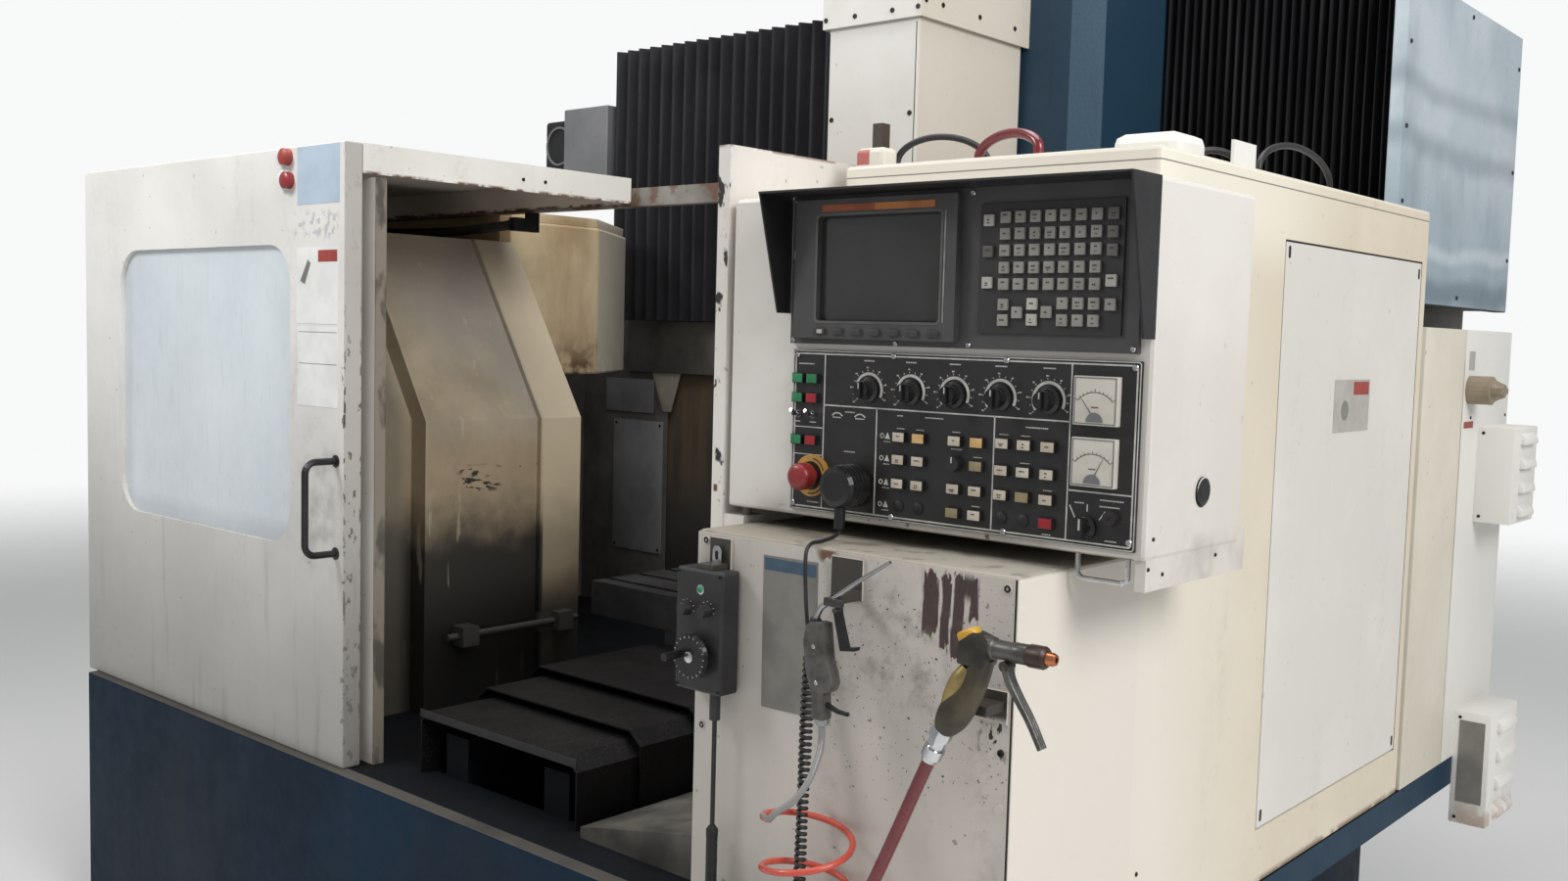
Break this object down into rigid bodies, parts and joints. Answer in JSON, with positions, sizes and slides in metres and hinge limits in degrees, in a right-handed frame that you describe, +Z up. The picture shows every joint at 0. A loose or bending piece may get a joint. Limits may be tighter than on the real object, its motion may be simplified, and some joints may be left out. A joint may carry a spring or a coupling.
{
  "type": "cnc vertical machining centre",
  "caption": "Bridge-type vertical machining centre with a sliding door, a head between pleated bellows, a T-slotted table, a swivelling console and hung guns.",
  "frame": {"origin": "under the levelling foot at the middle of the front edge", "axes": "+X right along the front, +Y into the machine, +Z up"},
  "size_m": [2.922, 2.4011, 2.75],
  "materials": {
    "blue": "worn semi-gloss paint",
    "portal": "satin paint",
    "saddle_blue": "semi-gloss paint",
    "steel_blue": "glossy sheet with soft reflections",
    "white": "light textured paint",
    "cream": "light textured paint",
    "pale": "scratched sheet",
    "soot": "sooty, oily paint",
    "dark": "dark satin",
    "iron": "ground, oily",
    "steel": "brushed",
    "chrome": "polished",
    "grey": "satin paint",
    "black_plastic": "matt black",
    "bellows": "matt coated cloth",
    "keys": "matt grey",
    "pane": "frosted pale blue",
    "tan": "matt tan",
    "red": "semi-gloss red",
    "hose_red": "smooth dark red",
    "hose_orange": "translucent red-orange",
    "cord": "matt black"
  },
  "bodies": {
    "root_body": {"base_casting": "blue", "left_enclosure": "white", "right_wall": "white", "roof_rail": "cream", "left_guard": "soot", "magazine_housing": "cream", "floor_guard": "pale", "portal": "portal", "end_cover": "steel_blue", "x_drive_box": "grey", "bellows_left": "bellows", "bellows_right": "bellows", "way_cover_front": "steel", "electrical_cabinet": "cream", "cabinet_side_cover": "white", "front_lower_panel": "white", "rear_cabinet": "cream", "top_cable_1": "cord", "top_cable_2": "cord", "top_cable_3": "cord", "top_hose": "hose_red", "pendant_box": "black_plastic", "air_gun": "grey", "coolant_gun": "grey", "hand_lead": "cord", "curly_cord": "cord", "pendant_cable": "cord", "coolant_hose": "hose_red", "air_hose": "hose_orange"},
    "saddle_body": {"saddle": "saddle_blue", "upper_head_cover": "white"},
    "ram_body": {"ram_cover": "white", "spindle_housing": "dark"},
    "spindle_body": {"spindle": "steel"},
    "table_body": {"table": "iron", "way_cover_rear": "steel"},
    "cover_body": {"way_cover_middle": "steel"},
    "door_body": {"door_panel": "white", "door_window": "pane", "door_handle": "dark", "door_roof": "white"},
    "console_body": {"console_housing": "white", "console_visor": "dark", "crt_unit": "black_plastic", "keypad": "keys", "operator_panel": "dark", "hand_unit": "black_plastic", "console_bar": "chrome"},
    "selector_body": {"selector_knob": "black_plastic"},
    "estop_body": {"estop_button": "red"},
    "switch_body": {"main_switch": "tan"},
    "wheel_body": {"pendant_wheel": "black_plastic"},
    "air_lever_body": {"air_gun_lever": "steel"},
    "coolant_lever_body": {"coolant_lever": "steel"},
    "knob_1_body": {"override_knob_1": "black_plastic"},
    "knob_2_body": {"override_knob_2": "black_plastic"},
    "knob_3_body": {"override_knob_3": "black_plastic"},
    "knob_4_body": {"override_knob_4": "black_plastic"},
    "knob_5_body": {"override_knob_5": "black_plastic"}
  },
  "joints": [
    {"name": "saddle_slide", "type": "slide", "parent": "root_body", "child": "saddle_body", "axis": [1, 0, 0], "range_m": [-0.68, 0.12], "deforming": ["bellows_left", "bellows_right"]},
    {"name": "ram_slide", "type": "slide", "parent": "saddle_body", "child": "ram_body", "axis": [0, 0, 1], "range_m": [-0.4, 0.05]},
    {"name": "spindle_spin", "type": "hinge", "parent": "ram_body", "child": "spindle_body", "pos_m": [0.483, 0.845, 1.33], "axis": [0, 0, 1], "continuous": true},
    {"name": "table_slide", "type": "slide", "parent": "root_body", "child": "table_body", "axis": [0, 1, 0], "range_m": [-0.25, 0.25]},
    {"name": "cover_slide", "type": "slide", "parent": "root_body", "child": "cover_body", "axis": [0, 1, 0], "range_m": [-0.125, 0.125]},
    {"name": "door_slide", "type": "slide", "parent": "root_body", "child": "door_body", "axis": [1, 0, 0], "range_m": [0, 0.965]},
    {"name": "console_swing", "type": "hinge", "parent": "root_body", "child": "console_body", "pos_m": [0.82, -0.045, 1.2223], "axis": [0, 0, 1], "range_deg": [-60, 0]},
    {"name": "override_1_turn", "type": "hinge", "parent": "console_body", "child": "knob_1_body", "pos_m": [1.072, -0.0746, 1.425], "axis": [0, 1, 0], "range_deg": [-135, 135]},
    {"name": "override_2_turn", "type": "hinge", "parent": "console_body", "child": "knob_2_body", "pos_m": [1.144, -0.0746, 1.425], "axis": [0, 1, 0], "range_deg": [-135, 135]},
    {"name": "override_3_turn", "type": "hinge", "parent": "console_body", "child": "knob_3_body", "pos_m": [1.216, -0.0746, 1.425], "axis": [0, 1, 0], "range_deg": [-135, 135]},
    {"name": "override_4_turn", "type": "hinge", "parent": "console_body", "child": "knob_4_body", "pos_m": [1.288, -0.0746, 1.425], "axis": [0, 1, 0], "range_deg": [-135, 135]},
    {"name": "override_5_turn", "type": "hinge", "parent": "console_body", "child": "knob_5_body", "pos_m": [1.36, -0.0746, 1.425], "axis": [0, 1, 0], "range_deg": [-135, 135]},
    {"name": "selector_turn", "type": "hinge", "parent": "console_body", "child": "selector_body", "pos_m": [1.421, -0.0746, 1.27], "axis": [0, 1, 0], "range_deg": [-45, 45]},
    {"name": "estop_press", "type": "slide", "parent": "console_body", "child": "estop_body", "axis": [0, 1, 0], "range_m": [0, 0.004], "stiffness_N_per_m": 1500, "springref_m": -0.003},
    {"name": "main_switch_turn", "type": "hinge", "parent": "root_body", "child": "switch_body", "pos_m": [1.3853, 1.6, 1.42], "axis": [1, 0, 0], "range_deg": [0, 90]},
    {"name": "pendant_wheel_spin", "type": "hinge", "parent": "root_body", "child": "wheel_body", "pos_m": [0.884, -0.2116, 1.038], "axis": [0, 1, 0], "continuous": true},
    {"name": "air_lever_squeeze", "type": "hinge", "parent": "root_body", "child": "air_lever_body", "pos_m": [1.154, -0.23, 1.146], "axis": [0, 1, 0], "range_deg": [0, 10], "stiffness_Nm_per_rad": 1, "springref_deg": -5.73},
    {"name": "coolant_lever_squeeze", "type": "hinge", "parent": "root_body", "child": "coolant_lever_body", "pos_m": [1.412, -0.23, 1.1182], "axis": [0, 1, 0], "range_deg": [0, 12], "stiffness_Nm_per_rad": 1.5, "springref_deg": -5.73}
  ],
  "couplings": [
    {"joint": "cover_slide", "follows": "table_slide", "ratio": 0.5}
  ]
}
